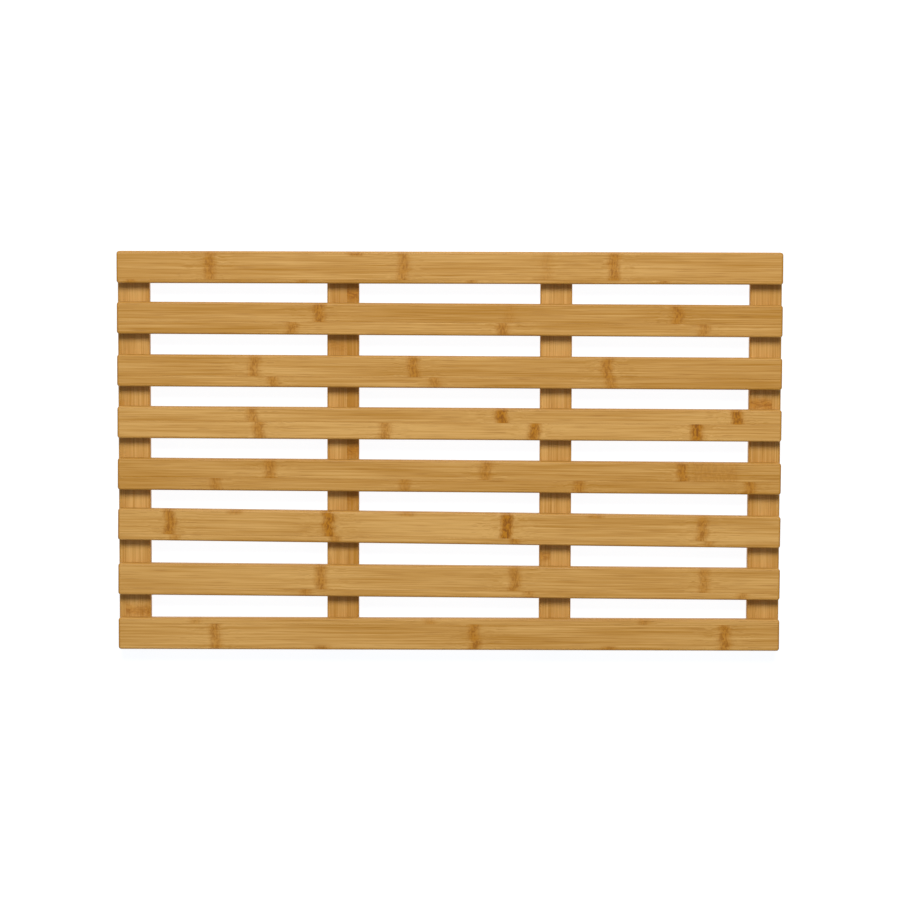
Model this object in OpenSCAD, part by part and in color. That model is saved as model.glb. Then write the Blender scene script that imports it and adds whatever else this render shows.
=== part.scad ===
// Slatted bamboo bath mat: a rigid duckboard of eight slats on four battens.
// Each slat is screwed from below at every batten, and the mat stands on round rubber feet
// let into the undersides of the battens.
// +X runs along the slats, +Y from the front edge to the back edge, +Z up.
// The origin is on the floor, under the middle of the mat.

/* [Mat] */
// Length of the mat, and of every slat
mat_length = 500; // [360:1:800]
// Depth of the mat, from its front edge to its back edge
mat_depth = 301; // [240:1:420]
// Number of slats
slat_count = 8; // [3:1:10]

/* [Slats] */
// Width of a slat
slat_width = 24; // [20:0.5:32]
// Thickness of a slat
slat_thickness = 9; // [7.5:0.5:18]
// Radius round the top and bottom edges of a slat
slat_edge_radius = 1.25; // [0.5:0.25:3.5]
// Radius of a slat's corners, seen from above
slat_corner_radius = 2; // [1:0.25:6]
// Share of the uneven hand fitting that is kept, 0 for evenly spaced slats
hand_fit = 1; // [0:0.25:1]

/* [Battens] */
// Width of a batten
batten_width = 24; // [20:0.5:36]
// Thickness of a batten
batten_thickness = 9; // [7:0.5:18]
// Radius round the top and bottom edges of a batten
batten_edge_radius = 1.25; // [0.5:0.25:3]
// Radius of a batten's corners, seen from above
batten_corner_radius = 1; // [0.5:0.25:4]
// Clear distance between the two middle battens
middle_bay = 136.5; // [60:0.5:220]
// How far each end of a batten stops short of the mat's edge
batten_setback = 1.5; // [0:0.25:2.5]

/* [Screws] */
// Diameter of a screw's plain shank
screw_diameter = 3; // [2:0.1:4]
// Diameter of a screw's countersunk head
screw_head_diameter = 6; // [5:0.1:8]
// Depth that a screw bites into the slat above the batten
screw_bite = 5; // [3:0.25:6]
// Length of a screw's tapered point
screw_point = 2.5; // [1:0.25:4]
// Depth that a screw's head is sunk below the wood around it
screw_sink = 0.3; // [0:0.1:1]
// Width across the arms of a screw's cross recess
recess_width = 3.4; // [2:0.1:4.5]
// Thickness of each arm of the cross recess
recess_arm = 0.8; // [0.4:0.1:1.2]
// Depth of the cross recess, whose arms run out to nothing there
recess_depth = 1.6; // [0.8:0.1:2]
// Gap round a screw's shank in the batten, and past its point in the slat
screw_clearance = 0.1; // [0.05:0.05:0.3]

/* [Feet] */
// Diameter of a rubber foot
foot_diameter = 14; // [11:0.5:17]
// Height that a foot lifts the battens off the floor
foot_height = 2.5; // [1.5:0.25:8]
// Depth of the round seat that a foot is glued into
foot_seat_depth = 0.8; // [0.4:0.1:2]
// Gap between a foot and the wall of its seat, all round
foot_clearance = 0.2; // [0.1:0.05:0.5]
// Radius round the edge of a foot's sole
foot_edge_radius = 0.8; // [0.4:0.1:1.2]
// Diameter, to its middle, of the ring groove in a foot's sole
foot_groove_diameter = 7; // [4:0.5:9]
// Width of the ring groove
foot_groove_width = 1.2; // [0.6:0.1:1.8]
// Depth of the ring groove
foot_groove_depth = 0.6; // [0.3:0.1:1]

/* [Hidden] */
$fn = 64;

// Distance that one solid is cut past the face it opens through
cut_past = 1;

// Where each slat was laid, in mm off its even place and towards the back, from the back slat
// to the front slat. The two outer slats are true to the battens' ends.
laid_left = [0, 1.5, 1.5, 2, 2.5, 4, 2, 0];
laid_right = [0, 0, 0, 0.5, 0, -1, -1, 0];

slat_pitch = (mat_depth - slat_width) / (slat_count - 1);
batten_length = mat_depth - 2 * batten_setback;
batten_base = foot_height;
slat_base = batten_base + batten_thickness;

// Places of the battens across the mat: end battens are flush with the slats' ends
end_batten_x = (mat_length - batten_width) / 2;
middle_batten_x = (middle_bay + batten_width) / 2;
batten_names = ["left_end", "left_middle", "right_middle", "right_end"];
batten_x = [-end_batten_x, -middle_batten_x, middle_batten_x, end_batten_x];
battens = [for (b = [0:len(batten_x) - 1]) b];

// The outer slats' middle lines, where the feet go as well
outer_row_y = (mat_depth - slat_width) / 2;
foot_rows = [outer_row_y, -outer_row_y];
row_names = ["back", "front"];
foot_bore = foot_diameter + 2 * foot_clearance;

screw_bore = screw_diameter + 2 * screw_clearance;
screw_head_height = (screw_head_diameter - screw_diameter) / 2;
screw_length = batten_thickness + screw_bite;

slats = [for (s = [0:slat_count - 1]) s];

function slat_name(s) =
    s == 0 ? "back_slat" : s == slat_count - 1 ? "front_slat" : str("slat_", s + 1);
function batten_name(b) = str(batten_names[b], "_batten");
function screws_name(b) = str(batten_names[b], "_screws");
function foot_name(b, r) = str(batten_names[b], "_", row_names[r], "_foot");

// How far one end of a slat lies off its even place
function laid(list, s) = s < len(list) && s < slat_count - 1 ? hand_fit * list[s] : 0;

// Middle line of a slat at a place x along the mat
function slat_slope(s) = (laid(laid_right, s) - laid(laid_left, s)) / mat_length;
function slat_middle(s) =
    outer_row_y - s * slat_pitch + (laid(laid_left, s) + laid(laid_right, s)) / 2;
function slat_y(s, x) = slat_middle(s) + x * slat_slope(s);

// Height of a screw's head, which is deeper where a foot covers it
function is_outer(s) = s == 0 || s == slat_count - 1;
function screw_seat(s) = batten_base + (is_outer(s) ? foot_seat_depth : 0);
function screw_base(s) = screw_seat(s) + screw_sink;

module rounded_rect(size, radius) {
    square([size.x - 2 * radius, size.y], center = true);
    square([size.x, size.y - 2 * radius], center = true);
    for (side = [-1, 1], end = [-1, 1])
        translate([side * (size.x / 2 - radius), end * (size.y / 2 - radius)])
            circle(radius);
}

// A planed bar along X, centred on the origin, with its top and bottom edges rounded to one
// radius and its corners, seen from above, to another
module planed_bar(size, edge_radius, corner_radius) {
    intersection() {
        rotate([90, 0, 90])
            linear_extrude(size.x, center = true)
                rounded_rect([size.y, size.z], edge_radius);
        linear_extrude(size.z, center = true)
            rounded_rect([size.x, size.y], corner_radius);
        rotate([90, 0, 0])
            linear_extrude(size.y, center = true)
                rounded_rect([size.x, size.z], edge_radius);
    }
}

// The hole a screw needs in a batten: a clearance hole for its shank, a countersink that its
// head seats in, and the way in from below. It starts at the head's flat and points up.
module screw_hole() {
    way_in = cut_past + screw_sink;
    translate([0, 0, -way_in]) {
        cylinder(d = screw_head_diameter, h = way_in);
        cylinder(d = screw_bore, h = way_in + batten_thickness + cut_past);
    }
    cylinder(d1 = screw_head_diameter, d2 = screw_diameter, h = screw_head_height);
}

// The pilot hole that a screw grips in a slat, from its flat at this height up
module pilot_hole(flat) {
    translate([0, 0, slat_base - cut_past])
        cylinder(d = screw_diameter,
            h = cut_past + flat + screw_length + screw_clearance - slat_base);
}

// The cross cut into a screw's head: two crossed arms that taper inwards with depth
module cross_recess() {
    intersection() {
        for (turn = [0, 90])
            rotate([0, 0, turn])
                translate([-recess_width / 2, -recess_arm / 2, -cut_past])
                    cube([recess_width, recess_arm, cut_past + recess_depth]);
        union() {
            cylinder(d1 = recess_width, d2 = recess_arm, h = recess_depth);
            translate([0, 0, -cut_past])
                cylinder(d = recess_width, h = cut_past);
        }
    }
}

// A countersunk wood screw, point up, with a cross recess in its head
module screw() {
    difference() {
        union() {
            cylinder(d1 = screw_head_diameter, d2 = screw_diameter, h = screw_head_height);
            cylinder(d = screw_diameter, h = screw_length - screw_point);
            translate([0, 0, screw_length - screw_point])
                cylinder(d1 = screw_diameter, d2 = 0, h = screw_point);
        }
        cross_recess();
    }
}

module slat(s) {
    color("burlywood")
        difference() {
            translate([0, slat_middle(s), slat_base + slat_thickness / 2])
                rotate([0, 0, atan(slat_slope(s))])
                    planed_bar([mat_length, slat_width, slat_thickness],
                        slat_edge_radius, slat_corner_radius);
            for (x = batten_x)
                translate([x, slat_y(s, x), 0])
                    pilot_hole(screw_base(s));
        }
}

module batten(b) {
    color("tan")
        difference() {
            translate([batten_x[b], 0, batten_base + batten_thickness / 2])
                rotate([0, 0, 90])
                    planed_bar([batten_length, batten_width, batten_thickness],
                        batten_edge_radius, batten_corner_radius);
            for (s = slats)
                translate([batten_x[b], slat_y(s, batten_x[b]), screw_base(s)])
                    screw_hole();
            for (y = foot_rows)
                translate([batten_x[b], y, batten_base - cut_past])
                    cylinder(d = foot_bore, h = cut_past + foot_seat_depth);
        }
}

module screws(b) {
    color("silver")
        for (s = slats)
            translate([batten_x[b], slat_y(s, batten_x[b]), screw_base(s)])
                screw();
}

// Half of a foot's section, which is turned about the foot's axis
module foot_section() {
    radius = foot_diameter / 2;
    difference() {
        union() {
            translate([0, foot_edge_radius])
                square([radius, foot_height + foot_seat_depth - foot_edge_radius]);
            square([radius - foot_edge_radius, foot_height]);
            translate([radius - foot_edge_radius, foot_edge_radius])
                circle(foot_edge_radius);
        }
        translate([(foot_groove_diameter - foot_groove_width) / 2, -cut_past])
            square([foot_groove_width, cut_past + foot_groove_depth]);
    }
}

module foot(b, r) {
    color("dimgray")
        translate([batten_x[b], foot_rows[r], 0])
            rotate_extrude()
                foot_section();
}

for (s = slats)
    slat(s);
for (b = battens)
    batten(b);
for (b = battens)
    screws(b);
for (b = battens, r = [0, 1])
    foot(b, r);
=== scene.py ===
import math
from collections import namedtuple

import bmesh
import bpy
from mathutils import Matrix, Vector


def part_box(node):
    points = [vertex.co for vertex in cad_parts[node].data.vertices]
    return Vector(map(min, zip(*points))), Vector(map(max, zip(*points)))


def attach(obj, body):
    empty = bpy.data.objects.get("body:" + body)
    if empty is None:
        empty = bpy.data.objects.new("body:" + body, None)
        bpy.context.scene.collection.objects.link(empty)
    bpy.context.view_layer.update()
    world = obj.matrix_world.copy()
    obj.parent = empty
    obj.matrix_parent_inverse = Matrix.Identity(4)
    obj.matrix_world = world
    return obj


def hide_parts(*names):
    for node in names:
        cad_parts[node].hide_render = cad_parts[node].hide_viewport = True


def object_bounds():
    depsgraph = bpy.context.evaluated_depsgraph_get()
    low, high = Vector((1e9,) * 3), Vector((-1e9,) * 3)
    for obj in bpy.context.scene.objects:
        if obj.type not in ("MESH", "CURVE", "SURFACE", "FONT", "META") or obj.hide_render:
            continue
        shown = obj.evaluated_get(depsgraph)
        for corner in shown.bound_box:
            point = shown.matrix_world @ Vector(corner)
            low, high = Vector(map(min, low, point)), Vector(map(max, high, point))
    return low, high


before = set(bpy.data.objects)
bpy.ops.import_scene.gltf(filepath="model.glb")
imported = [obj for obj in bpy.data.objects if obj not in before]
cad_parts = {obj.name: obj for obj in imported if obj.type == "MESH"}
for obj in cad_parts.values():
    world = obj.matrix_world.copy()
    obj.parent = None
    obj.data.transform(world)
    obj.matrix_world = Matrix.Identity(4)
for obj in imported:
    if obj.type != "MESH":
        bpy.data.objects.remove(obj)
CAD_BOX = [list(corner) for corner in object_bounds()]

bl_info = {
    "name": "Slatted Bamboo Bath Mat",
    "version": (1, 0, 0),
    "blender": (4, 5, 0),
    "location": "3D Viewport > Sidebar > Bath Mat",
    "description": "Builds the slats, battens, screws, feet and studio of a bamboo bath mat",
    "category": "Object",
}

MM = 0.001
BODY = "root"
TINY = 1e-6


def linear(hex_colour):
    """Turns an sRGB hex value into linear red, green and blue."""
    shares = [int(hex_colour[i : i + 2], 16) / 255 for i in (1, 3, 5)]
    return tuple(s / 12.92 if s <= 0.04045 else ((s + 0.055) / 1.055) ** 2.4 for s in shares)


# ------------------------------------------------------------------ the bamboo stock

# Each bar is two strips of bamboo glued edge to edge. The seam is given as a share of the
# width from the back edge (from the left edge on a batten). A strip's knots are given as
# (distance in mm from the bar's middle, strength), with how far its stain spreads where that
# is much. Tones lighten or darken a strip. Spots are knots of the strip's skin, which show
# only at the sanded back or front edge.
Stock = namedtuple(
    "Stock",
    "seam first_knots second_knots first_tone second_tone back_spots front_spots",
    defaults=((), ()),
)

SLAT_STOCK = {
    "back_slat": Stock(
        0.88,
        ((-180, 0.85), (-35, 0.85), (73, 0.3), (123, 1.0)),
        ((-239, 0.8), (-110, 0.8), (16, 0.7), (161, 0.7)),
        0.02,
        -0.02,
        ((-71, 1.2),),
    ),
    "slat_2": Stock(
        0.60,
        ((-98, 1.1), (45, 0.3), (171, 1.0)),
        ((-118, 0.8), (40, 0.9), (191, 0.7)),
        -0.07,
        0.02,
    ),
    "slat_3": Stock(
        0.66,
        ((-147, 0.8), (-27, 1.0), (119, 1.0)),
        ((-133, 0.8), (-11, 0.7), (121, 0.8)),
        0.0,
        -0.04,
    ),
    "slat_4": Stock(
        0.46,
        ((-148, 0.8), (39, 1.6), (217, 1.5)),
        ((-144, 0.9), (-48, 0.8), (64, 1.3), (186, 1.5)),
        0.09,
        0.15,
    ),
    "slat_5": Stock(
        0.60,
        ((-135, 0.9), (28, 0.8), (176, 1.1), (200, 0.35, 14)),
        ((-176, 0.7), (-33, 0.7), (98, 0.9), (227, 1.0)),
        -0.02,
        -0.06,
    ),
    "slat_6": Stock(
        0.80,
        ((-211, 1.1), (-91, 1.4), (43, 1.6), (191, 0.9)),
        ((-207, 0.7), (-86, 0.8), (49, 0.8), (196, 0.6)),
        0.13,
        0.06,
        ((-162, 0.8), (-32, 0.8), (111, 0.8)),
    ),
    "slat_7": Stock(
        0.78,
        ((-97, 0.9), (49, 0.85), (193, 0.7)),
        ((-109, 0.7), (61, 0.6), (222, 0.6)),
        0.08,
        0.04,
    ),
    "front_slat": Stock(
        0.18,
        ((-192, 0.5), (-15, 0.6), (148, 0.6)),
        ((-177, 0.8), (19, 1.0), (208, 1.0)),
        0.06,
        0.06,
        (),
        ((-96, 0.8), (121, 0.8)),
    ),
}

BATTEN_STOCK = {
    "left_end_batten": Stock(0.20, ((35, 0.5),), ((-122, 0.7), (62, 0.4)), 0.02, 0.08),
    "left_middle_batten": Stock(
        0.62, ((-70, 0.4), (80, 0.4)), ((119, 1.0), (1, 0.9), (-35, 0.6)), 0.04, -0.16
    ),
    "right_middle_batten": Stock(0.35, ((-79, 0.6), (90, 0.3)), ((-20, 0.4),), 0.10, 0.06),
    "right_end_batten": Stock(0.72, ((36, 0.9), (-110, 0.4)), ((-60, 0.4),), 0.07, 0.01),
}

BATTENS = ("left_end", "left_middle", "right_middle", "right_end")
ENDS = ("back", "front")


# ------------------------------------------------------------------ settings


def size_setting(name, description, millimetres):
    """A length, given in millimetres."""
    return bpy.props.FloatProperty(
        name=name, description=description, default=millimetres * MM, unit="LENGTH"
    )


def angle_setting(name, description, degrees):
    """An angle, given in degrees."""
    return bpy.props.FloatProperty(
        name=name, description=description, default=math.radians(degrees), unit="ROTATION"
    )


def colour_setting(name, description, hex_colour):
    """A colour, given as an sRGB hex value."""
    return bpy.props.FloatVectorProperty(
        name=name, description=description, default=linear(hex_colour), subtype="COLOR", size=3
    )


class MatBarSettings(bpy.types.PropertyGroup):
    """Sizes and colours of the planed bamboo bars"""

    slat_edge: size_setting("Slat Edge Radius", "Radius sanded along a slat's edges", 1.25)
    slat_corner: size_setting("Slat Corner Radius", "Radius of a slat's corners from above", 2)
    batten_edge: size_setting("Batten Edge Radius", "Radius sanded along a batten's edges", 1.25)
    batten_corner: size_setting("Batten Corner Radius", "Radius of its corners from above", 1)
    seam_width: size_setting("Seam Width", "Width of the fine groove at a glued seam", 0.3)
    seam_depth: size_setting("Seam Depth", "Depth of the fine groove at a glued seam", 0.04)
    sanding: size_setting("Hand Sanding", "How far the sanded edges wander", 0.12)
    light_fibre: colour_setting("Light Fibre", "Palest bamboo fibres", "#D1A35C")
    middle_fibre: colour_setting("Middle Fibre", "Most of the bamboo", "#BF8E46")
    dark_fibre: colour_setting("Dark Fibre", "Darkest bamboo fibres", "#AE7A28")
    knot_stain: colour_setting("Knot Stain", "Warm wood round a knot's specks", "#B2740F")
    knot: colour_setting("Knot", "Specks across a knot", "#844D04")


class MatFixingSettings(bpy.types.PropertyGroup):
    """Sizes and colours of the screws and the rubber feet"""

    screw_diameter: size_setting("Screw Diameter", "Over the thread", 3)
    screw_point: size_setting("Screw Point", "Length of the tapered point", 2.5)
    screw_clearance: size_setting("Screw Clearance", "Gap round a screw in its batten", 0.1)
    screw_sink: size_setting("Screw Sink", "Depth of a head below the wood", 0.3)
    thread_length: size_setting("Thread Length", "Of the threaded end, with its point", 9)
    thread_pitch: size_setting("Thread Pitch", "From one ridge to the next", 1.35)
    recess_width: size_setting("Recess Width", "Across the arms of the cross", 3.4)
    recess_arm: size_setting("Recess Arm", "Thickness of an arm of the cross", 0.8)
    recess_depth: size_setting("Recess Depth", "Depth of the cross", 1.6)
    seat_clearance: size_setting("Seat Clearance", "Gap round a foot in its seat", 0.2)
    foot_edge: size_setting("Foot Edge Radius", "Round the sole of a foot", 0.8)
    groove_diameter: size_setting("Groove Diameter", "Of the ring in the sole", 7)
    groove_width: size_setting("Groove Width", "Of the ring in the sole", 1.2)
    groove_depth: size_setting("Groove Depth", "Of the ring in the sole", 0.6)
    dull_zinc: colour_setting("Dull Zinc", "Milky patches of the plating", "#A8A8A2")
    bright_zinc: colour_setting("Bright Zinc", "Bright patches of the plating", "#CBCCC8")
    rubber: colour_setting("Rubber", "Clean rubber", "#242423")
    scuffed_rubber: colour_setting("Scuffed Rubber", "Rubbed rubber", "#34332F")
    dust: colour_setting("Dust", "Pale dust on the rubber", "#4A4842")


class MatStageSettings(bpy.types.PropertyGroup):
    """The floor, the lights and the camera"""

    floor_colour: colour_setting("Floor", "Colour of the floor", "#7C8288")
    floor_light: colour_setting("Floor Light", "Colour of the table's own light", "#FAFCFF")
    floor_glow: bpy.props.FloatProperty(
        name="Floor Glow", description="Strength of the table's own light", default=0.938, min=0
    )
    floor_size: size_setting("Floor Size", "Length of a side", 12000)
    floor_gap: size_setting("Floor Gap", "Between the feet and the floor", 0.2)
    room_light: bpy.props.FloatProperty(
        name="Room Light", description="Strength of the pale room round the mat", default=0.3, min=0
    )
    wall_light: bpy.props.FloatProperty(
        name="Wall Light", description="Strength of the white wall's foot", default=1, min=0
    )
    key_place: bpy.props.FloatVectorProperty(
        name="Softbox Place",
        description="Behind the mat and well above it",
        default=(0.05, 1.83, 2.64),
        subtype="TRANSLATION",
        unit="LENGTH",
        size=3,
    )
    key_size: size_setting("Softbox Size", "Diameter of the softbox", 1300)
    key_power: bpy.props.FloatProperty(
        name="Softbox Power", description="Light of the softbox", default=91, unit="POWER"
    )
    camera_distance: size_setting("Camera Distance", "From the tread face", 2500)
    camera_tilt: angle_setting("Camera Tilt", "Lean towards the back of the mat", 4.95)
    camera_side: angle_setting("Camera Side Lean", "Lean to one side", -0.12)
    camera_roll: angle_setting("Camera Roll", "Turn of the picture", -0.164)
    camera_shift: bpy.props.FloatVectorProperty(
        name="Camera Shift",
        description="Shares of the picture that it slides right and up",
        default=(0.00074, 0.00227),
        subtype="COORDINATES",
        size=2,
    )
    lens: bpy.props.FloatProperty(
        name="Lens", description="Focal length", default=132.8, subtype="DISTANCE_CAMERA"
    )


# ------------------------------------------------------------------ modelling tools

# Faces that meet at a smaller angle are shaded as one
SMOOTH_BELOW = math.radians(32)


def clear_selection():
    """Leaves edit mode and deselects everything."""
    if bpy.context.object and bpy.context.object.mode != "OBJECT":
        bpy.ops.object.mode_set(mode="OBJECT")
    bpy.ops.object.select_all(action="DESELECT")


def make_active(obj):
    """Selects one object, and nothing else, for the next operator."""
    clear_selection()
    obj.select_set(True)
    bpy.context.view_layer.objects.active = obj


def pick(obj, kind, test):
    """In edit mode, selects only the verts, edges or faces that pass the test."""
    mesh = bmesh.from_edit_mesh(obj.data)
    bpy.ops.mesh.select_all(action="DESELECT")
    bpy.ops.mesh.select_mode(type={"verts": "VERT", "edges": "EDGE", "faces": "FACE"}[kind])
    for part in getattr(mesh, kind):
        part.select_set(test(part))
    mesh.select_flush_mode()
    bmesh.update_edit_mesh(obj.data)


def bisect_all(position, normal):
    """Cuts a line round the whole mesh where a plane meets it."""
    bpy.ops.mesh.select_all(action="SELECT")
    bpy.ops.mesh.bisect(plane_co=position, plane_no=normal)


def join(objects, name):
    """Joins objects into the first one and names it."""
    clear_selection()
    for obj in objects:
        obj.select_set(True)
    bpy.context.view_layer.objects.active = objects[0]
    if len(objects) > 1:
        bpy.ops.object.join()
    objects[0].name = name
    return objects[0]


def carve(piece, cutter):
    """Cuts the cutter's shape out of the piece, and deletes the cutter."""
    make_active(piece)
    cut = piece.modifiers.new("cut", "BOOLEAN")
    cut.operation = "DIFFERENCE"
    cut.solver = "EXACT"
    cut.object = cutter
    bpy.ops.object.modifier_apply(modifier=cut.name)
    bpy.data.objects.remove(cutter)


def copy_at(model, place, turn=0.0):
    """A copy of a model with a mesh of its own, turned about Z and moved inside that mesh."""
    copy = model.copy()
    copy.data = model.data.copy()
    copy.data.transform(Matrix.Translation(place) @ Matrix.Rotation(turn, 4, "Z"))
    bpy.context.collection.objects.link(copy)
    return copy


def turned(rings, sides, place=(0, 0)):
    """A solid of revolution, extruded cap by cap through (radius, height) rings."""
    clear_selection()
    (radius, height), *later = rings
    bpy.ops.mesh.primitive_circle_add(
        vertices=sides, radius=radius, fill_type="NGON", location=(*place, height)
    )
    made = bpy.context.object
    bpy.ops.object.mode_set(mode="EDIT")
    bpy.ops.mesh.select_all(action="SELECT")
    for next_radius, next_height in later:
        bpy.ops.mesh.extrude_region_move(
            TRANSFORM_OT_translate={"value": (0, 0, next_height - height)}
        )
        share = next_radius / radius
        bpy.ops.transform.resize(value=(share, share, 1))
        radius, height = next_radius, next_height
    bpy.ops.mesh.select_all(action="SELECT")
    bpy.ops.mesh.normals_make_consistent(inside=False)
    bpy.ops.object.mode_set(mode="OBJECT")
    bpy.ops.object.transform_apply(location=True, rotation=True, scale=True)
    return made


def finish_piece(piece, node, material):
    """Shades a finished piece, gives it its material and ties it to the frame."""
    if not piece.data.polygons:
        raise RuntimeError(f"{node} came out without faces")
    make_active(piece)
    bpy.ops.object.shade_smooth_by_angle(angle=SMOOTH_BELOW)
    piece.name = node + "_piece"
    piece.data.name = piece.name
    piece.data.materials.clear()
    piece.data.materials.append(material)
    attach(piece, BODY)
    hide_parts(node)


# ------------------------------------------------------------------ where things are

# How much of a slat's length counts as its end when its turn is read
END_REACH = 3 * MM

# A bar's place: its middle, its turn about Z, and its length, width and thickness
Place = namedtuple("Place", "middle turn size")


def slat_place(node):
    """A slat's place, read from the ends of its CAD solid, because it may lie askew."""
    low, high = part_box(node)
    points = [v.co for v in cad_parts[node].data.vertices]
    left = [p.y for p in points if p.x < low.x + END_REACH]
    right = [p.y for p in points if p.x > high.x - END_REACH]
    left_y = (min(left) + max(left)) / 2
    right_y = (min(right) + max(right)) / 2
    turn = math.atan2(right_y - left_y, high.x - low.x)
    length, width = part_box("back_slat")[1].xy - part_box("back_slat")[0].xy
    middle = Vector(((low.x + high.x) / 2, (left_y + right_y) / 2, (low.z + high.z) / 2))
    return Place(middle, turn, Vector((length, width, high.z - low.z)))


def batten_place(node):
    """A batten's place. It runs along Y, so it is turned a quarter."""
    low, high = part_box(node)
    size = high - low
    return Place((low + high) / 2, math.pi / 2, Vector((size.y, size.x, size.z)))


def slat_y(node, x):
    """Where a slat's middle line crosses a batten."""
    place = slat_place(node)
    return place.middle.y + (x - place.middle.x) * math.tan(place.turn)


def crossings(batten):
    """(x, y, height of the screw head's flat) where a batten's screws stand."""
    middle = batten_place(batten + "_batten").middle
    foot_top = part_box(f"{batten}_back_foot")[1].z
    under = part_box(batten + "_batten")[0].z
    sink = bpy.context.scene.mat_fixings.screw_sink
    found = []
    for node in SLAT_STOCK:
        outer = node in ("back_slat", "front_slat")
        base = (foot_top if outer else under) + sink
        found.append((middle.x, slat_y(node, middle.x), base))
    return found


# ------------------------------------------------------------------ shapes

# Width of the narrow flats beside rounded edges and seams, which keep broad faces level
LEVEL = 0.25 * MM
CORNER_STEPS = 6
EDGE_STEPS = 5
# Spacing of the cuts across a bar between which its sanded edges wander
SANDING_STEP = 20 * MM
SANDING_SEED = 3

# How far a cutter stands out of the wood that it opens
CUT_PAST = 1 * MM
BORE_SIDES = 32
PILOT_SIDES = 24
SEAT_SIDES = 48

# Shares: a thread's root across its ridge, and where the root starts and ends in a pitch
THREAD_ROOT = 0.72
ROOT_START, ROOT_END = 0.15, 0.65
SCREW_SIDES = 24
# Breadth of the rim round a screw's head, and the radius of its point's tip
SCREW_RIM = 0.12 * MM
POINT_STEP = 0.2 * MM
# Shares of its length and thickness that the cross keeps at its bottom
RECESS_TAPER = (0.3, 0.7, 1)

# The soft edges of the moulding, and the dimple that the mould leaves in a foot's middle
FOOT_SIDES = 64
FOOT_SOFT = 0.2 * MM
DIMPLE_RADIUS = 0.8 * MM
DIMPLE_DEPTH = 0.15 * MM
ROUND_STEPS = 6


def planed_bar(place, edge, corner, seam, settings):
    """A sanded bar along X at the origin, grooved at its glued seam, then laid in place."""
    length, width, thickness = place.size
    upright = thickness / 2 - edge
    clear_selection()
    bpy.ops.mesh.primitive_plane_add(size=1, location=(0, 0, 0))
    bar = bpy.context.object
    bpy.ops.object.mode_set(mode="EDIT")
    bpy.ops.mesh.select_all(action="SELECT")
    bpy.ops.transform.resize(value=(length, width, 1))
    bpy.ops.transform.translate(value=(0, 0, -upright))
    bpy.ops.mesh.bevel(offset=corner, segments=CORNER_STEPS, profile=0.5, affect="VERTICES")
    bpy.ops.mesh.select_all(action="SELECT")
    for rise in (LEVEL, 2 * (upright - LEVEL), LEVEL):
        bpy.ops.mesh.extrude_region_move(TRANSFORM_OT_translate={"value": (0, 0, rise)})
    round_over(place.size, edge, 1)
    pick(bar, "faces", lambda f: all(v.co.z < -upright + TINY for v in f.verts))
    round_over(place.size, edge, -1)
    bpy.ops.mesh.select_all(action="SELECT")
    bpy.ops.mesh.normals_make_consistent(inside=False)
    sand_edges(bar, place.size, edge, corner, settings.sanding)
    groove_seam(bar, (0.5 - seam) * width, settings)
    bpy.ops.object.mode_set(mode="OBJECT")
    bar.rotation_euler.z = place.turn
    bar.location = place.middle
    bpy.ops.object.transform_apply(location=True, rotation=True, scale=True)
    return bar


def round_over(size, edge, way):
    """Draws the selected face of a bar up (way 1) or down (way -1) round its sanded edge."""
    angles = [i / EDGE_STEPS * math.pi / 2 for i in range(1, EDGE_STEPS + 1)]
    path = [(edge * (1 - math.cos(angle)), edge * math.sin(angle)) for angle in angles]
    path.append((edge + LEVEL, edge))
    inset, height = 0, 0
    for next_inset, next_height in path:
        bpy.ops.mesh.extrude_region_move(
            TRANSFORM_OT_translate={"value": (0, 0, way * (next_height - height))}
        )
        shares = [(side - 2 * next_inset) / (side - 2 * inset) for side in size.xy]
        bpy.ops.transform.resize(value=(*shares, 1))
        inset, height = next_inset, next_height


def sand_edges(bar, size, edge, corner, sanding):
    """Lets the rounded long edges of a bar wander inwards, as hand sanding leaves them."""
    length, width, thickness = size
    for i in range(1, int(length / SANDING_STEP)):
        bisect_all((i * SANDING_STEP - length / 2, 0, 0), (1, 0, 0))
    pick(
        bar,
        "verts",
        lambda v: abs(v.co.y) > width / 2 - edge
        and abs(v.co.x) < length / 2 - 2 * corner
        and thickness / 2 - edge < abs(v.co.z) < thickness / 2 - TINY,
    )
    bpy.ops.transform.shrink_fatten(value=-sanding / 2)
    bpy.ops.transform.vertex_random(offset=sanding / 2, uniform=0, normal=1, seed=SANDING_SEED)


def groove_seam(bar, seam_y, settings):
    """Sinks a fine groove all round a bar where its two strips are glued."""
    half = settings.seam_width / 2
    for y in (-half - LEVEL, -half, 0, half, half + LEVEL):
        bisect_all((0, seam_y + y, 0), (0, 1, 0))
    pick(bar, "verts", lambda v: abs(v.co.y - seam_y) < TINY)
    bpy.ops.transform.shrink_fatten(value=-settings.seam_depth)


def screw_holes(batten, fixings):
    """Cutters for a batten's screws: a shank hole, a countersink and the way in from below."""
    head, shank = screw_radii(batten, fixings)
    under, over = (corner.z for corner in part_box(batten + "_batten"))
    cone = head - shank
    bore = shank + fixings.screw_clearance
    cutters = []
    for x, y, base in crossings(batten):
        rings = [
            (head, under - CUT_PAST),
            (head, base),
            (bore, base + cone - fixings.screw_clearance),
            (bore, over + CUT_PAST),
        ]
        cutters.append(turned(rings, BORE_SIDES, (x, y)))
    return join(cutters, "screw_holes")


def foot_seats(batten, fixings):
    """Cutters for the round seats that a batten's two feet stand in."""
    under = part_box(batten + "_batten")[0].z
    cutters = []
    for end in ENDS:
        low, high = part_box(f"{batten}_{end}_foot")
        middle = (low + high) / 2
        radius = (high.x - low.x) / 2 + fixings.seat_clearance
        rings = [(radius, under - CUT_PAST), (radius, high.z)]
        cutters.append(turned(rings, SEAT_SIDES, middle.xy))
    return join(cutters, "foot_seats")


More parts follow.
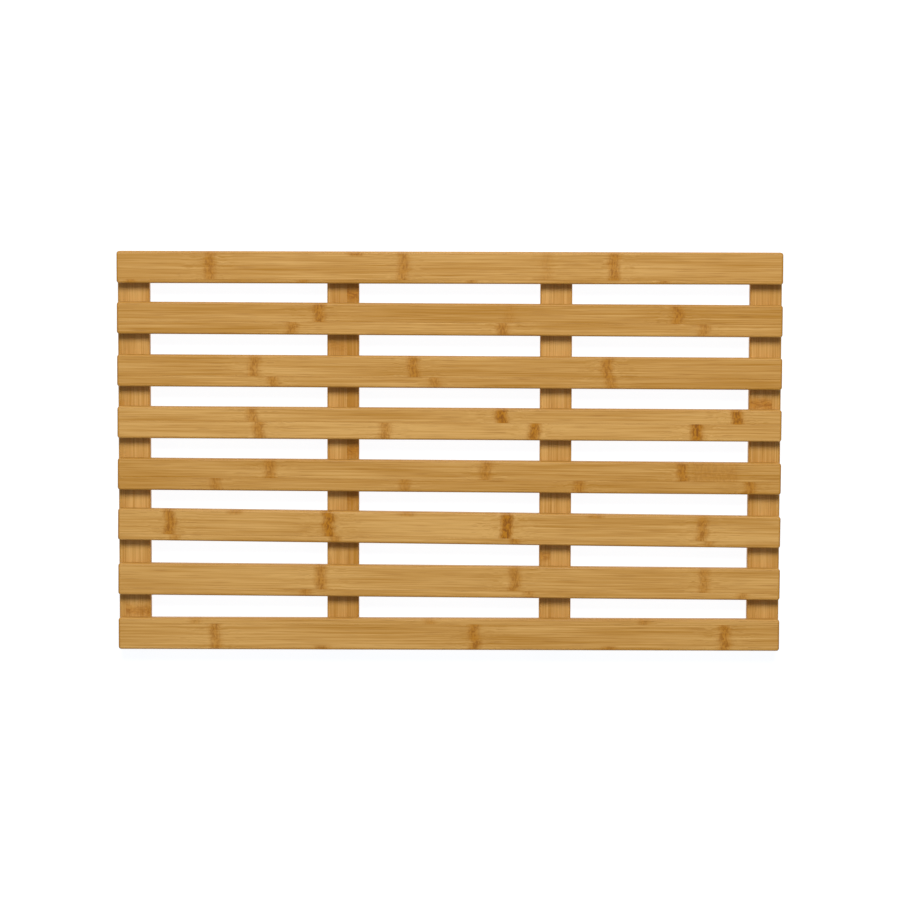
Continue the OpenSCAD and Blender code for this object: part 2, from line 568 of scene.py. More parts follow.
def pilot_holes(node, fixings):
    """Cutters for the holes that a slat's four screws grip."""
    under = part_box(node)[0].z
    cutters = []
    for batten in BATTENS:
        head, shank = screw_radii(batten, fixings)
        x, y, base = crossings(batten)[list(SLAT_STOCK).index(node)]
        top = base + screw_length(batten) + fixings.screw_clearance
        cutters.append(turned([(shank, under - CUT_PAST), (shank, top)], PILOT_SIDES, (x, y)))
    return join(cutters, "pilot_holes")


def screw_radii(batten, fixings):
    """Radii of a screw's head and shank."""
    low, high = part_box(batten + "_screws")
    return (high.x - low.x) / 2, fixings.screw_diameter / 2


def screw_length(batten):
    """Length of one screw, from the highest head and the highest point on a batten."""
    heights = [base for x, y, base in crossings(batten)]
    low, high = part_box(batten + "_screws")
    return high.z - max(heights)


def cross_cutters(fixings):
    """The two arms that cut a screw's cross recess, tapering as they go up into the head."""
    arms = []
    for turn in (0, math.pi / 2):
        clear_selection()
        bpy.ops.mesh.primitive_cube_add(size=1)
        arm = bpy.context.object
        bpy.ops.object.mode_set(mode="EDIT")
        size = (fixings.recess_width, fixings.recess_arm, 2 * fixings.recess_depth)
        bpy.ops.transform.resize(value=size)
        pick(arm, "verts", lambda v: v.co.z > 0)
        bpy.ops.transform.resize(value=RECESS_TAPER)
        bpy.ops.mesh.select_all(action="SELECT")
        bpy.ops.transform.rotate(value=turn, orient_axis="Z", center_override=(0, 0, 0))
        bpy.ops.object.mode_set(mode="OBJECT")
        arms.append(arm)
    return arms


def wood_screw(batten, fixings):
    """One countersunk screw, point up, its head's flat at the origin."""
    head, shank = screw_radii(batten, fixings)
    length = screw_length(batten)
    core = THREAD_ROOT * shank
    pitch = fixings.thread_pitch
    start = length - fixings.thread_length
    rings = [
        (head - SCREW_RIM, 0),
        (head, SCREW_RIM),
        (shank, SCREW_RIM + head - shank),
        (shank, start),
    ]
    for i in range(int((length - fixings.screw_point - start) / pitch)):
        foot = start + i * pitch
        rings += [
            (core, foot + ROOT_START * pitch),
            (core, foot + ROOT_END * pitch),
            (shank, foot + pitch),
        ]
    rings += [(core, rings[-1][1] + POINT_STEP), (SCREW_RIM, length)]
    screw = turned(rings, SCREW_SIDES)
    for arm in cross_cutters(fixings):
        carve(screw, arm)
    return screw


def rubber_foot(node, fixings):
    """A moulded foot at the origin: its sole has a ring groove and a rounded edge."""
    low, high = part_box(node)
    radius = (high.x - low.x) / 2
    edge = fixings.foot_edge
    inner = (fixings.groove_diameter - fixings.groove_width) / 2
    outer = (fixings.groove_diameter + fixings.groove_width) / 2
    rings = [
        (DIMPLE_RADIUS, DIMPLE_DEPTH),
        (DIMPLE_RADIUS + FOOT_SOFT, 0),
        (inner - FOOT_SOFT, 0),
        (inner, FOOT_SOFT),
        (inner, fixings.groove_depth),
        (outer, fixings.groove_depth),
        (outer, FOOT_SOFT),
        (outer + FOOT_SOFT, 0),
    ]
    for i in range(ROUND_STEPS + 1):
        angle = i / ROUND_STEPS * math.pi / 2
        rings.append((radius - edge + edge * math.sin(angle), edge - edge * math.cos(angle)))
    rings += [(radius, high.z - FOOT_SOFT), (radius - FOOT_SOFT, high.z)]
    return turned(rings, FOOT_SIDES)


# ------------------------------------------------------------------ materials

# Noise seldom leaves this range
NOISE_LOW, NOISE_HIGH = 0.3, 0.7


def add(tree, kind, inputs=None, stops=None, **settings):
    """Adds a shader node with its settings and links, and returns its outputs."""
    made = tree.nodes.new("ShaderNode" + kind)
    for key, value in settings.items():
        setattr(made, key, value)
    for socket, value in (inputs or {}).items():
        if isinstance(value, bpy.types.NodeSocket):
            tree.links.new(value, made.inputs[socket])
        else:
            made.inputs[socket].default_value = value
    if stops:
        ramp = made.color_ramp
        while len(ramp.elements) < len(stops):
            ramp.elements.new(0.5)
        for element, (position, colour) in zip(ramp.elements, stops):
            element.position = position
        for element, (position, colour) in zip(ramp.elements, stops):
            element.color = (*colour, 1) if isinstance(colour, tuple) else (colour, colour, colour, 1)
    return made.outputs


def new_material(name):
    """An empty material and its node tree."""
    material = bpy.data.materials.new(name)
    material.use_nodes = True
    material.node_tree.nodes.clear()
    return material, material.node_tree


def cycles(*sizes):
    """Cycles per metre of a pattern whose cycles have these sizes in mm."""
    return tuple(1 / (size * MM) for size in sizes)


# ------------------------------------------------------------------ lacquered bamboo

# The first strip's patterns are read a metre along from the second's, and each further bar's
# are moved sideways and upwards by these shares of a metre
BAR_SHIFT = (0.37, 0.21)

# Fibre patterns: their length and width in mm, how much finer noise they carry, and how much
# of the wood's tone they make up (for the bundles, how dark they are)
Grain = namedtuple("Grain", "long wide detail weight")
DRIFT = Grain(140, 12, 1.0, 0.55)
STREAKS = Grain(120, 1.5, 2.0, 0.7)
HAIRS = Grain(70, 0.8, 2.0, 0.8)
BUNDLES = Grain(22, 0.35, 0.0, 0.3)
FINE_ROUGHNESS = 0.6
BUNDLE_FROM, BUNDLE_FULL = 0.60, 0.72
DARK_AT, MIDDLE_AT, LIGHT_AT = 0.24, 0.50, 0.76

# In mm along a bar: where a knot is at full strength, and where it has faded away
BAND_CORE, BAND_REACH = 1.5, 6
HALO_CORE, HALO_REACH = 6, 30
SPOT_CORE, SPOT_REACH = 2.0, 8
# In mm in from the bar's edge: where a spot begins, and where it is full
SPOT_FROM, SPOT_FULL = 4, 2
STOP_GAP = 0.0001

# A knot's line wanders over this much of the bar's length, in cycles this long and wide
WANDER = 7 * MM
WANDER_SIZE = (83.33, 5.882)
# Fibres swing over this much of the bar's width near a knot, in cycles this long and wide
SWING = 3 * MM
SWING_SIZE = (11.11, 6.25)

# A knot's specks are dashes that run across the bar
SPECK_SIZE = (1.5625, 3.448)
SPECK_DETAIL, SPECK_DISTORTION = 2.0, 0.6
SPECK_FROM, SPECK_FULL = 0.42, 0.64
KNOT_WARMTH, KNOT_DARKNESS = 0.75, 0.62

GLUE_HALF, GLUE_FADE, GLUE_DARKNESS = 0.05 * MM, 0.3 * MM, 0.2
# Painted shade along the rounded edges: how far in it reaches, where it is full, and how dark ends and
# sides get
EDGE_SHADE_FROM, EDGE_SHADE_FULL = 1.7 * MM, 0.7 * MM
EDGE_SHADE_ENDS, EDGE_SHADE_SIDES = 0.8, 0.55

# The cut fibre bundles of a sawn end: their size, the reach of a dot from its middle as a
# share of that, and how dark a dot and the wood between are
DOT_SIZE = (16.67, 0.8)
DOT_FULL, DOT_EDGE = 0.18, 0.42
DOT_DARK, DOT_PALE = 0.9, 0.3
# How squarely a face looks along the bar when it begins to be, and is, a sawn end
END_FROM, END_FULL = 0.30, 0.75

LACQUER_IOR, LACQUER_SPECULAR = 1.47, 0.3
GLOSSY, SATIN, END_DULLNESS = 0.40, 0.54, 0.2
HAIR_RELIEF, KNOT_RELIEF, BUNDLE_RELIEF = 0.6, -0.5, -0.8
WOOD_BUMP, WOOD_RELIEF = 0.35, 0.08 * MM

# What the bamboo's patterns are drawn from: the node tree, the bar's stock and size, its own
# axes, a place in the strip's patterns, whether it is the first strip, the seam's place, and
# a share of the bar's length that wanders as the knots do
Bar = namedtuple("Bar", "tree stock size axes strip first seam_y share")


def laminated_bamboo(node, stock, place, seed):
    """Planed and lacquered bamboo, glued up from strips: fine straight fibres in honey
    tones, broken by speckled brown bands where the culm had its knots, with a satin sheen."""
    colours = bpy.context.scene.mat_bars
    material, tree = new_material(node + "_lacquered_bamboo")
    bar = read_bar(tree, stock, place, seed)
    grain = swung_grain(bar)
    streaks = fibres(tree, grain, STREAKS)
    hairs = fibres(tree, grain, HAIRS)
    wood = fibre_colour(bar, (fibres(tree, grain, DRIFT), streaks, hairs), colours)
    wood, bundles = add_bundles(tree, wood, grain, colours)
    wood, stain = add_knots(bar, wood, colours)
    wood = add_glue_line(bar, wood, colours)
    # Painted shade darkens the rounded edges, most of all at the ends
    wood = add_painted_edge_shade(bar, wood, colours)
    wood, sawn = add_sawn_ends(bar, wood, place, colours)
    relief = add(tree, "Math", {0: hairs, 1: HAIR_RELIEF, 2: streaks}, operation="MULTIPLY_ADD")[0]
    relief = add(tree, "Math", {0: stain, 1: KNOT_RELIEF, 2: relief}, operation="MULTIPLY_ADD")[0]
    relief = add(tree, "Math", {0: bundles, 1: BUNDLE_RELIEF, 2: relief}, operation="MULTIPLY_ADD")[0]
    add_lacquer(tree, wood, hairs, sawn, relief)
    return material


def read_bar(tree, stock, place, seed):
    """The places along and across a bar that its patterns are drawn from."""
    length, width, thickness = place.size
    local = add(
        tree,
        "Mapping",
        {
            "Vector": add(tree, "TexCoord")["Object"],
            "Location": place.middle,
            "Rotation": (0, 0, place.turn),
        },
        vector_type="TEXTURE",
    )["Vector"]
    axes = add(tree, "SeparateXYZ", {0: local})
    seam_y = (0.5 - stock.seam) * width
    first = add(tree, "Math", {0: axes["Y"], 1: seam_y}, operation="GREATER_THAN")[0]

    # Each strip is cut from another culm, so its patterns are read from somewhere else.
    across = [seed * shift for shift in BAR_SHIFT]
    shift = add(tree, "CombineXYZ", {0: first, 1: across[0], 2: across[1]})[0]
    strip = add(tree, "VectorMath", {0: local, 1: shift}, operation="ADD")[0]

    # A line across the bar wanders along it, as a culm's knots do.
    long, wide = WANDER_SIZE
    spread = add(tree, "Mapping", {"Vector": strip, "Scale": cycles(long, wide, wide)})[0]
    noise = add(tree, "TexNoise", {"Vector": spread, "Scale": 1.0})["Fac"]
    along = add(tree, "Math", {0: noise, 1: WANDER, 2: axes["X"]}, operation="MULTIPLY_ADD")[0]
    along = add(tree, "Math", {0: along, 1: WANDER / 2}, operation="SUBTRACT")[0]
    share = add(tree, "Math", {0: along, 1: 1 / length, 2: 0.5}, operation="MULTIPLY_ADD")[0]
    return Bar(tree, stock, place.size, axes, strip, first, seam_y, share)


def knot_stops(knots, length, core, reach):
    """Ramp stops along a bar that rise to each knot's strength and fall again."""
    stops = [(0.0, 0.0)]
    for x, strength, *spread in sorted(knots):
        middle = x * MM / length + 0.5
        wide = sum(spread)
        slopes = (
            (-reach - wide, 0),
            (-core - wide, strength),
            (core + wide, strength),
            (reach + wide, 0),
        )
        for offset, value in slopes:
            at = min(max(middle + offset * MM / length, stops[-1][0] + STOP_GAP), 1.0)
            stops.append((at, float(value)))
    return stops + [(1.0, 0.0)]


def knot_row(bar, knots, core, reach):
    """A value along the bar that is high at each knot of a row."""
    stops = knot_stops(knots, bar.size.x, core, reach)
    return add(bar.tree, "ValToRGB", {"Fac": bar.share}, stops=stops)["Color"]


def strip_knots(bar, core, reach):
    """A value along the bar from each strip's own knots."""
    rows = (bar.stock.second_knots, bar.stock.first_knots)
    second, first = (knot_row(bar, knots, core, reach) for knots in rows)
    return add(bar.tree, "Mix", {0: bar.first, "A": second, "B": first}, data_type="FLOAT")[0]


def knot_bands(bar):
    """A value that is high on each strip's knots and on the spots at the bar's edges."""
    tree = bar.tree
    half = bar.size.y / 2
    bands = strip_knots(bar, BAND_CORE, BAND_REACH)
    for spots, way in ((bar.stock.back_spots, 1), (bar.stock.front_spots, -1)):
        limits = [way * (half - inset * MM) for inset in (SPOT_FROM, SPOT_FULL)]
        near_edge = add(
            tree, "MapRange", {"Value": bar.axes["Y"], "From Min": limits[0], "From Max": limits[1]}
        )["Result"]
        row = knot_row(bar, spots, SPOT_CORE, SPOT_REACH)
        spot = add(tree, "Math", {0: near_edge, 1: row}, operation="MULTIPLY")[0]
        bands = add(tree, "Math", {0: bands, 1: spot}, operation="MAXIMUM")[0]
    return bands


def swung_grain(bar):
    """The place in a strip's patterns, pushed sideways near a knot, where fibres swing."""
    tree = bar.tree
    halo = strip_knots(bar, HALO_CORE, HALO_REACH)
    long, wide = SWING_SIZE
    spread = add(tree, "Mapping", {"Vector": bar.strip, "Scale": cycles(long, wide, wide)})[0]
    noise = add(tree, "TexNoise", {"Vector": spread, "Scale": 1.0})["Fac"]
    swing = add(tree, "Math", {0: noise, 1: 0.5}, operation="SUBTRACT")[0]
    swing = add(tree, "Math", {0: swing, 1: halo}, operation="MULTIPLY")[0]
    swing = add(tree, "Math", {0: swing, 1: SWING}, operation="MULTIPLY")[0]
    sideways = add(tree, "CombineXYZ", {1: swing, 2: swing})[0]
    return add(tree, "VectorMath", {0: bar.strip, 1: sideways}, operation="ADD")[0]


def fibres(tree, grain, kind):
    """Noise drawn out along the bar, one cycle to a fibre's length and width."""
    scale = cycles(kind.long, kind.wide, kind.wide)
    inputs = {
        "Vector": add(tree, "Mapping", {"Vector": grain, "Scale": scale})[0],
        "Scale": 1.0,
        "Detail": kind.detail,
        "Roughness": FINE_ROUGHNESS,
    }
    return add(tree, "TexNoise", inputs)["Fac"]


def fibre_colour(bar, patterns, colours):
    """Honey tones from slow drifts, streaks and hair-fine fibres. The hairs are drawn 0.8 mm
    wide, coarser than real fibres, so that they show."""
    tree = bar.tree
    tones = {0: bar.first, 2: bar.stock.second_tone, 3: bar.stock.first_tone}
    tone = add(tree, "Mix", tones, data_type="FLOAT")[0]
    weights = [kind.weight for kind in (DRIFT, STREAKS, HAIRS)]
    # Each pattern averages a half, so half the weights come off to keep the ramp's middle.
    shade = add(tree, "Math", {0: tone, 1: 0.5 - sum(weights) / 2}, operation="ADD")[0]
    for pattern, weight in zip(patterns, weights):
        shade = add(tree, "Math", {0: pattern, 1: weight, 2: shade}, operation="MULTIPLY_ADD")[0]
    stops = [
        (DARK_AT, tuple(colours.dark_fibre)),
        (MIDDLE_AT, tuple(colours.middle_fibre)),
        (LIGHT_AT, tuple(colours.light_fibre)),
    ]
    return add(tree, "ValToRGB", {"Fac": shade}, stops=stops)["Color"]


def add_bundles(tree, wood, grain, colours):
    """Cut fibre bundles: sparse brown dashes, a centimetre or so long and a third of a
    millimetre wide."""
    bundles = add(
        tree,
        "MapRange",
        {"Value": fibres(tree, grain, BUNDLES), "From Min": BUNDLE_FROM, "From Max": BUNDLE_FULL},
    )["Result"]
    bundles = add(tree, "Math", {0: bundles, 1: BUNDLES.weight}, operation="MULTIPLY")[0]
    wood = add(tree, "Mix", {0: bundles, 6: wood, 7: (*colours.knot, 1)}, data_type="RGBA")[2]
    return wood, bundles


def add_knots(bar, wood, colours):
    """Knots: bands of brown dashes that run across the bar, over a faint warm stain."""
    tree = bar.tree
    bands = knot_bands(bar)
    long, wide = SPECK_SIZE
    inputs = {
        "Vector": add(tree, "Mapping", {"Vector": bar.strip, "Scale": cycles(long, wide, wide)})[0],
        "Scale": 1.0,
        "Detail": SPECK_DETAIL,
        "Distortion": SPECK_DISTORTION,
    }
    noise = add(tree, "TexNoise", inputs)["Fac"]
    limits = {"Value": noise, "From Min": SPECK_FROM, "From Max": SPECK_FULL}
    specks = add(tree, "MapRange", limits)["Result"]
    warm = add(tree, "Math", {0: bands, 1: KNOT_WARMTH}, operation="MULTIPLY", use_clamp=True)[0]
    wood = add(tree, "Mix", {0: warm, 6: wood, 7: (*colours.knot_stain, 1)}, data_type="RGBA")[2]
    stain = add(tree, "Math", {0: specks, 1: bands}, operation="MULTIPLY")[0]
    stain = add(tree, "Math", {0: stain, 1: KNOT_DARKNESS}, operation="MULTIPLY", use_clamp=True)[0]
    wood = add(tree, "Mix", {0: stain, 6: wood, 7: (*colours.knot, 1)}, data_type="RGBA")[2]
    return wood, stain


def add_glue_line(bar, wood, colours):
    """The glue line at a seam: a hair darker than the wood beside it."""
    tree = bar.tree
    away = add(tree, "Math", {0: bar.axes["Y"], 1: bar.seam_y}, operation="SUBTRACT")[0]
    away = add(tree, "Math", {0: away}, operation="ABSOLUTE")[0]
    fade = {
        "Value": away,
        "From Min": GLUE_HALF,
        "From Max": GLUE_FADE,
        "To Min": GLUE_DARKNESS,
        "To Max": 0,
    }
    glue = add(tree, "MapRange", fade)["Result"]
    return add(tree, "Mix", {0: glue, 6: wood, 7: (*colours.knot, 1)}, data_type="RGBA")[2]


def add_painted_edge_shade(bar, wood, colours):
    """Painted shade on the sanded edges: they are darkened a little, most of all at the ends."""
    tree = bar.tree
    # Painted shade: the wood is mixed towards the darkest fibre near each edge, most near the ends
    edge_shade = 0.0
    for axis, side, strength in (("X", bar.size.x, EDGE_SHADE_ENDS), ("Y", bar.size.y, EDGE_SHADE_SIDES)):
        shade_reach = {
            "Value": add(tree, "Math", {0: bar.axes[axis]}, operation="ABSOLUTE")[0],
            "From Min": side / 2 - EDGE_SHADE_FROM,
            "From Max": side / 2 - EDGE_SHADE_FULL,
            "To Min": 0,
            "To Max": strength,
        }
        edge_darkening = add(tree, "MapRange", shade_reach)["Result"]
        edge_shade = add(tree, "Math", {0: edge_darkening, 1: edge_shade}, operation="MAXIMUM")[0]
    return add(tree, "Mix", {0: edge_shade, 6: wood, 7: (*colours.dark_fibre, 1)}, data_type="RGBA")[2]


def add_sawn_ends(bar, wood, place, colours):
    """Sawn ends, which soak up more oil and show the fibre bundles as dark dots."""
    tree = bar.tree
    long, wide = DOT_SIZE
    spread = add(tree, "Mapping", {"Vector": bar.strip, "Scale": cycles(long, wide, wide)})[0]
    limits = {
        "Value": add(tree, "TexVoronoi", {"Vector": spread, "Scale": 1.0})["Distance"],
        "From Min": DOT_FULL,
        "From Max": DOT_EDGE,
        "To Min": DOT_DARK,
        "To Max": DOT_PALE,
    }
    dots = add(tree, "MapRange", limits)["Result"]
    tints = {0: dots, 6: (*colours.dark_fibre, 1), 7: (*colours.knot, 1)}
    end_colour = add(tree, "Mix", tints, data_type="RGBA")[2]
    run = Vector((math.cos(place.turn), math.sin(place.turn), 0))
    normal = add(tree, "NewGeometry")["Normal"]
    facing = add(tree, "VectorMath", {0: normal, 1: run}, operation="DOT_PRODUCT")["Value"]
    facing = add(tree, "Math", {0: facing}, operation="ABSOLUTE")[0]
    limits = {"Value": facing, "From Min": END_FROM, "From Max": END_FULL}
    sawn = add(tree, "MapRange", limits)["Result"]
    return add(tree, "Mix", {0: sawn, 6: wood, 7: end_colour}, data_type="RGBA")[2], sawn


def add_lacquer(tree, wood, hairs, sawn, relief):
    """Satin lacquer, duller on the thirsty sawn ends. The fibres show through it as lines
    less than a tenth of a millimetre deep."""
    limits = {
        "Value": hairs,
        "From Min": NOISE_LOW,
        "From Max": NOISE_HIGH,
        "To Min": GLOSSY,
        "To Max": SATIN,
    }
    gloss = add(tree, "MapRange", limits)["Result"]
    inputs = {
        "Base Color": wood,
        "Roughness": add(tree, "Math", {0: sawn, 1: END_DULLNESS, 2: gloss}, operation="MULTIPLY_ADD")[0],
        "IOR": LACQUER_IOR,
        "Specular IOR Level": LACQUER_SPECULAR,
        "Normal": add(
            tree, "Bump", {"Strength": WOOD_BUMP, "Distance": WOOD_RELIEF, "Height": relief}
        )["Normal"],
    }
    surface = add(tree, "BsdfPrincipled", inputs)["BSDF"]
    add(tree, "OutputMaterial", {"Surface": surface})


# ------------------------------------------------------------------ other materials

# Sizes in mm of the zinc's mottle and scratches
ZINC_MOTTLE = 1.111
ZINC_SCRATCH = (1.667, 0.1111, 1.111)
ZINC_DETAIL = 3.0
ZINC_DULL_AT, ZINC_BRIGHT_AT = 0.35, 0.65
ZINC_SMOOTH, ZINC_ROUGH = 0.26, 0.46
ZINC_BUMP, ZINC_RELIEF = 0.2, 0.02 * MM

# Sizes in mm of the mould's eroded grain and of the dust's patches
RUBBER_GRAIN, RUBBER_DUST = 0.2857, 2.857
GRAIN_DETAIL, DUST_DETAIL = 2.0, 4.0
RUBBER_CLEAN_AT, RUBBER_SCUFFED_AT, RUBBER_DUSTY_AT = 0.40, 0.60, 0.75
RUBBER_SMOOTH, RUBBER_ROUGH, RUBBER_IOR = 0.62, 0.85, 1.52
RUBBER_BUMP, RUBBER_RELIEF = 0.4, 0.05 * MM

TABLE_GRAIN = 25
TABLE_DETAIL = 3.0
TABLE_SMOOTH, TABLE_ROUGH = 0.85, 0.95


def zinc_plated_steel(colours):
    """Bright zinc-plated steel, as pressed screws have: grey with a faint milky mottle and
    fine scratches from the bin."""
    material, tree = new_material("zinc_plated_screw_steel")
    coords = add(tree, "TexCoord")["Object"]
    inputs = {"Vector": coords, "Scale": cycles(ZINC_MOTTLE)[0], "Detail": ZINC_DETAIL}
    mottle = add(tree, "TexNoise", inputs)["Fac"]
    spread = add(tree, "Mapping", {"Vector": coords, "Scale": cycles(*ZINC_SCRATCH)})[0]
    scratches = add(tree, "TexNoise", {"Vector": spread, "Scale": 1.0})["Fac"]
    stops = [(ZINC_DULL_AT, tuple(colours.dull_zinc)), (ZINC_BRIGHT_AT, tuple(colours.bright_zinc))]
    limits = {
        "Value": scratches,
        "From Min": NOISE_LOW,
        "From Max": NOISE_HIGH,
        "To Min": ZINC_SMOOTH,
        "To Max": ZINC_ROUGH,
    }
    bump = {"Strength": ZINC_BUMP, "Distance": ZINC_RELIEF, "Height": scratches}
    inputs = {
        "Base Color": add(tree, "ValToRGB", {"Fac": mottle}, stops=stops)["Color"],
        "Metallic": 1.0,
        "Roughness": add(tree, "MapRange", limits)["Result"],
        "Normal": add(tree, "Bump", bump)["Normal"],
    }
    surface = add(tree, "BsdfPrincipled", inputs)["BSDF"]
    add(tree, "OutputMaterial", {"Surface": surface})
    return material


def moulded_rubber(colours):
    """Black moulded rubber: matt, with a spark-eroded grain and pale dust in patches."""
    material, tree = new_material("moulded_black_rubber")
    coords = add(tree, "TexCoord")["Object"]
    inputs = {"Vector": coords, "Scale": cycles(RUBBER_GRAIN)[0], "Detail": GRAIN_DETAIL}
    grain = add(tree, "TexNoise", inputs)["Fac"]
    inputs = {"Vector": coords, "Scale": cycles(RUBBER_DUST)[0], "Detail": DUST_DETAIL}
    dust = add(tree, "TexNoise", inputs)["Fac"]
    stops = [
        (RUBBER_CLEAN_AT, tuple(colours.rubber)),
        (RUBBER_SCUFFED_AT, tuple(colours.scuffed_rubber)),
        (RUBBER_DUSTY_AT, tuple(colours.dust)),
    ]
    limits = {
        "Value": dust,
        "From Min": NOISE_LOW,
        "From Max": NOISE_HIGH,
        "To Min": RUBBER_SMOOTH,
        "To Max": RUBBER_ROUGH,
    }
    bump = {"Strength": RUBBER_BUMP, "Distance": RUBBER_RELIEF, "Height": grain}
    inputs = {
        "Base Color": add(tree, "ValToRGB", {"Fac": dust}, stops=stops)["Color"],
        "Roughness": add(tree, "MapRange", limits)["Result"],
        "IOR": RUBBER_IOR,
        "Normal": add(tree, "Bump", bump)["Normal"],
    }
    surface = add(tree, "BsdfPrincipled", inputs)["BSDF"]
    add(tree, "OutputMaterial", {"Surface": surface})
    return material


def lit_table(settings):
    """A pale matt table lit from inside, with a barely visible grain."""
    material, tree = new_material("lit_white_table")
    coords = add(tree, "TexCoord")["Object"]
    inputs = {"Vector": coords, "Scale": cycles(TABLE_GRAIN)[0], "Detail": TABLE_DETAIL}
    limits = {
        "Value": add(tree, "TexNoise", inputs)["Fac"],
        "From Min": NOISE_LOW,
        "From Max": NOISE_HIGH,
        "To Min": TABLE_SMOOTH,
        "To Max": TABLE_ROUGH,
    }
    inputs = {
        "Base Color": (*settings.floor_colour, 1),
        "Roughness": add(tree, "MapRange", limits)["Result"],
        "Emission Color": (*settings.floor_light, 1),
        "Emission Strength": settings.floor_glow,
    }
    surface = add(tree, "BsdfPrincipled", inputs)["BSDF"]
    add(tree, "OutputMaterial", {"Surface": surface})
    return material


# ------------------------------------------------------------------ studio

SENSOR_WIDTH = 36
CLIP_END = 50
# Heights of the bright wall above the horizon, as sines: its full part, and its fade
WALL_TOP, WALL_FADE = 0.085, 0.12


def set_floor(settings, level):
    """Lays the lit table just under the feet."""
    clear_selection()
    place = (0, 0, level - settings.floor_gap)
    bpy.ops.mesh.primitive_plane_add(size=settings.floor_size, location=place)
    floor = bpy.context.object
    floor.name = "table_top"
    floor.data.materials.append(lit_table(settings))


def set_room(settings):
    """Fills the room with soft white light, brightest at the foot of its white wall."""
    world = bpy.data.worlds.new("pale_room")
    world.use_nodes = True
    tree = world.node_tree
    background = tree.nodes["Background"]
    background.inputs["Color"].default_value = (1, 1, 1, 1)
    ray = add(tree, "TexCoord")["Generated"]
    limits = {
        "Value": add(tree, "SeparateXYZ", {0: ray})["Z"],
        "From Min": WALL_TOP,
        "From Max": WALL_FADE,
        "To Min": settings.wall_light,
        "To Max": settings.room_light,
    }
    tree.links.new(add(tree, "MapRange", limits)["Result"], background.inputs["Strength"])
    bpy.context.scene.world = world
    bpy.context.scene.view_settings.view_transform = "Standard"


def set_softbox(settings, aim):
    """Hangs a round softbox that faces the mat."""
    light = bpy.data.lights.new("key_softbox", "AREA")
    light.shape = "DISK"
    light.size = settings.key_size
    light.energy = settings.key_power
    lamp = bpy.data.objects.new("key_softbox", light)
    lamp.location = settings.key_place
    lamp.rotation_euler = (aim - lamp.location).to_track_quat("-Z", "Y").to_euler()
    bpy.context.collection.objects.link(lamp)


def set_camera(settings, aim):
    """Sets the camera above the mat, leaning a little towards the mat's back."""
    lens = bpy.data.cameras.new("camera")
    lens.lens = settings.lens
    lens.sensor_width = SENSOR_WIDTH
    lens.shift_x, lens.shift_y = settings.camera_shift
    lens.clip_end = CLIP_END
    camera = bpy.data.objects.new("camera", lens)
    lean = Matrix.Rotation(settings.camera_tilt, 4, "X")
    lean = Matrix.Rotation(settings.camera_side, 4, "Y") @ lean
    lean = Matrix.Rotation(settings.camera_roll, 4, "Z") @ lean
    back = Matrix.Translation((0, 0, settings.camera_distance))
    camera.matrix_world = Matrix.Translation(aim) @ lean.inverted() @ back
    bpy.context.collection.objects.link(camera)
    bpy.context.scene.camera = camera


# ------------------------------------------------------------------ operators

GOLDEN_ANGLE = math.radians(137.5)


class BATH_MAT_OT_slats(bpy.types.Operator):
    """Builds the eight slats, with their seams and pilot holes"""

    bl_idname = "bath_mat.slats"
    bl_label = "Slats"

    def execute(self, context):
        bars, fixings = context.scene.mat_bars, context.scene.mat_fixings
        for seed, (node, stock) in enumerate(SLAT_STOCK.items(), start=1):
            place = slat_place(node)
            slat = planed_bar(place, bars.slat_edge, bars.slat_corner, stock.seam, bars)
            carve(slat, pilot_holes(node, fixings))
            finish_piece(slat, node, laminated_bamboo(node, stock, place, seed))
        return {"FINISHED"}


class BATH_MAT_OT_battens(bpy.types.Operator):
    """Builds the four battens, with their seams, screw holes and seats for the feet"""

    bl_idname = "bath_mat.battens"
    bl_label = "Battens"

    def execute(self, context):
        bars, fixings = context.scene.mat_bars, context.scene.mat_fixings
        first_seed = len(SLAT_STOCK) + 1
        for seed, batten in enumerate(BATTENS, start=first_seed):
            node = batten + "_batten"
            stock, place = BATTEN_STOCK[node], batten_place(node)
            bar = planed_bar(place, bars.batten_edge, bars.batten_corner, stock.seam, bars)
            carve(bar, foot_seats(batten, fixings))
            carve(bar, screw_holes(batten, fixings))
            finish_piece(bar, node, laminated_bamboo(node, stock, place, seed))
        return {"FINISHED"}


class BATH_MAT_OT_screws(bpy.types.Operator):
    """Models one screw and sets a copy at each crossing"""

    bl_idname = "bath_mat.screws"
    bl_label = "Screws"

    def execute(self, context):
        fixings = context.scene.mat_fixings
        steel = zinc_plated_steel(fixings)
        model = wood_screw(BATTENS[0], fixings)
        for row, batten in enumerate(BATTENS):
            screws = []
            for i, place in enumerate(crossings(batten)):
                # A golden angle turns every head to stop at an angle of its own
                screws.append(copy_at(model, place, (2 * i + row) * GOLDEN_ANGLE))
            finish_piece(join(screws, "screws"), batten + "_screws", steel)
        bpy.data.objects.remove(model)
        return {"FINISHED"}


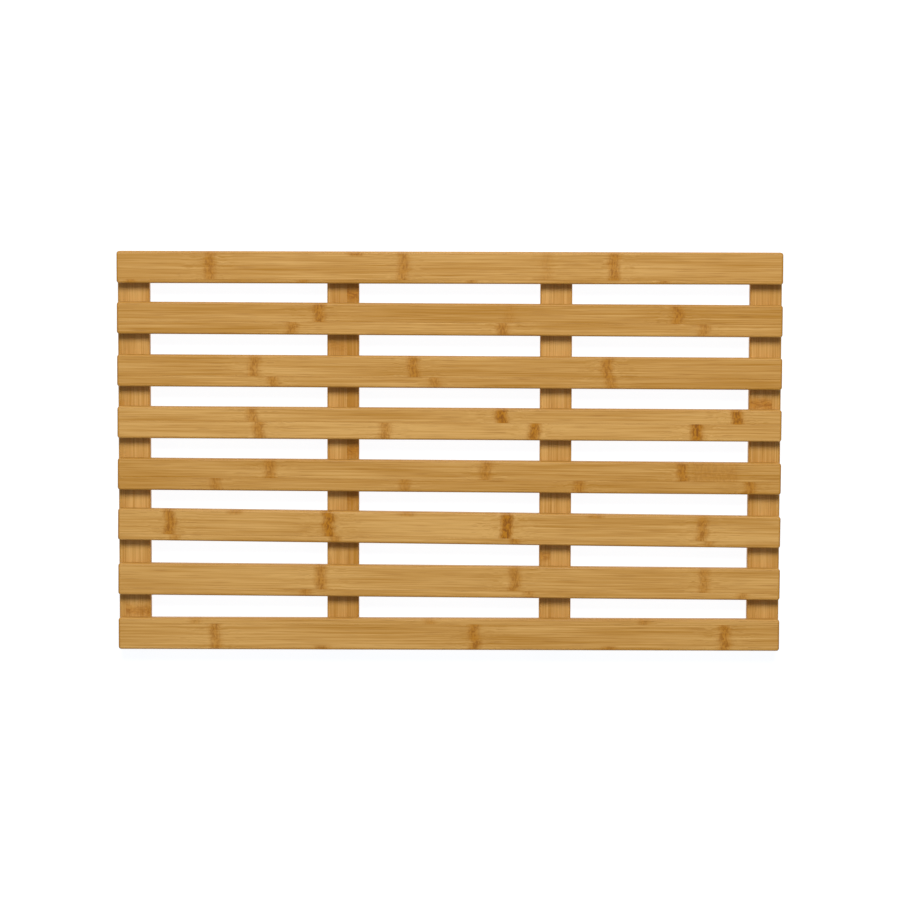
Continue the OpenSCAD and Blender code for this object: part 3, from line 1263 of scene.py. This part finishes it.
class BATH_MAT_OT_feet(bpy.types.Operator):
    """Models one rubber foot and sets a copy at each end of every batten"""

    bl_idname = "bath_mat.feet"
    bl_label = "Feet"

    def execute(self, context):
        fixings = context.scene.mat_fixings
        rubber = moulded_rubber(fixings)
        nodes = [f"{batten}_{end}_foot" for batten in BATTENS for end in ENDS]
        model = rubber_foot(nodes[0], fixings)
        for node in nodes:
            low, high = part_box(node)
            middle = (low + high) / 2
            finish_piece(copy_at(model, (middle.x, middle.y, 0)), node, rubber)
        bpy.data.objects.remove(model)
        return {"FINISHED"}


class BATH_MAT_OT_stage(bpy.types.Operator):
    """Sets the floor, the soft light and the camera"""

    bl_idname = "bath_mat.stage"
    bl_label = "Studio"

    def execute(self, context):
        settings = context.scene.mat_stage
        low, high = (Vector(corner) for corner in CAD_BOX)
        aim = Vector((0, 0, high.z))
        set_floor(settings, low.z)
        set_room(settings)
        set_softbox(settings, aim)
        set_camera(settings, aim)
        return {"FINISHED"}


class BATH_MAT_PT_panel(bpy.types.Panel):
    """Lists the steps that build the bath mat"""

    bl_idname = "BATH_MAT_PT_panel"
    bl_label = "Bath Mat"
    bl_space_type = "VIEW_3D"
    bl_region_type = "UI"
    bl_category = "Bath Mat"

    def draw(self, context):
        for step in STEPS:
            self.layout.operator(step.bl_idname)


STEPS = (BATH_MAT_OT_slats, BATH_MAT_OT_battens, BATH_MAT_OT_screws, BATH_MAT_OT_feet, BATH_MAT_OT_stage)
SETTINGS = {
    "mat_bars": MatBarSettings,
    "mat_fixings": MatFixingSettings,
    "mat_stage": MatStageSettings,
}


def register():
    """Makes the settings, steps and panel known to Blender."""
    for cls in (*SETTINGS.values(), *STEPS, BATH_MAT_PT_panel):
        bpy.utils.register_class(cls)
    for name, cls in SETTINGS.items():
        setattr(bpy.types.Scene, name, bpy.props.PointerProperty(type=cls))


def unregister():
    """Takes them away again."""
    for name in SETTINGS:
        delattr(bpy.types.Scene, name)
    for cls in reversed((*SETTINGS.values(), *STEPS, BATH_MAT_PT_panel)):
        bpy.utils.unregister_class(cls)


def main():
    """Builds the mat and its studio."""
    register()
    bpy.ops.bath_mat.slats()
    bpy.ops.bath_mat.battens()
    bpy.ops.bath_mat.screws()
    bpy.ops.bath_mat.feet()
    bpy.ops.bath_mat.stage()


if __name__ == "__main__":
    main()
